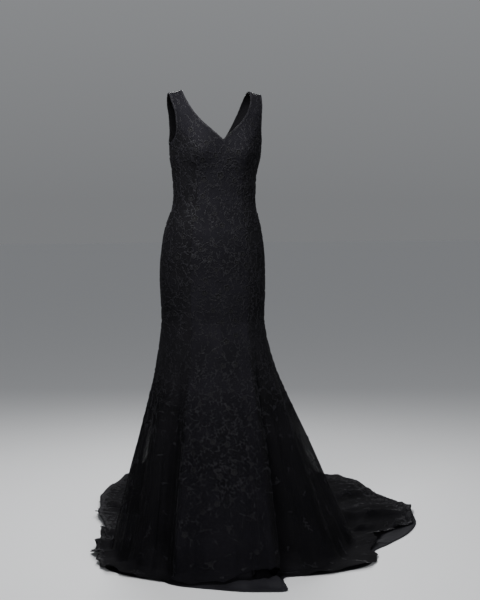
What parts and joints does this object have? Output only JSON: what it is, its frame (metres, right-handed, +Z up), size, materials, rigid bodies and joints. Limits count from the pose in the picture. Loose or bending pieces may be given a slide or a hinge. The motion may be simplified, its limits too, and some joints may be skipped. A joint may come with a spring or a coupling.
{
  "type": "fit and flare wedding dress",
  "caption": "Sleeveless V-neck fit and flare gown in lace over satin, flared from the knee, with a long train swept to one side",
  "frame": {"origin": "on the shoulders, midway between the tops of the two straps, where the wearer holds the dress up", "axes": "+Z up; the dress faces -Y and its train runs back along +Y; +X is the wearer's left"},
  "size_m": [1.2278, 1.9387, 1.514],
  "materials": {
    "lace": "black corded lace on tulle over a matt base",
    "satin": "black satin with a soft sheen",
    "zip_metal": "black lacquer"
  },
  "bodies": {
    "dress": {"front_centre": "lace", "front_side_left": "lace", "front_side_right": "lace", "back_side_left": "lace", "back_side_right": "lace", "back_centre_left": "lace", "back_centre_right": "lace", "lining_front": "satin", "lining_back_left": "satin", "lining_back_right": "satin", "zip_slider": "zip_metal"},
    "zip_tab": {"zip_pull": "zip_metal"}
  },
  "joints": [
    {"name": "zip_tab_swing", "type": "hinge", "parent": "dress", "child": "zip_tab", "pos_m": [0.00519, 0.10103, -0.262], "axis": [1, 0, 0], "range_deg": [0, 150]}
  ]
}
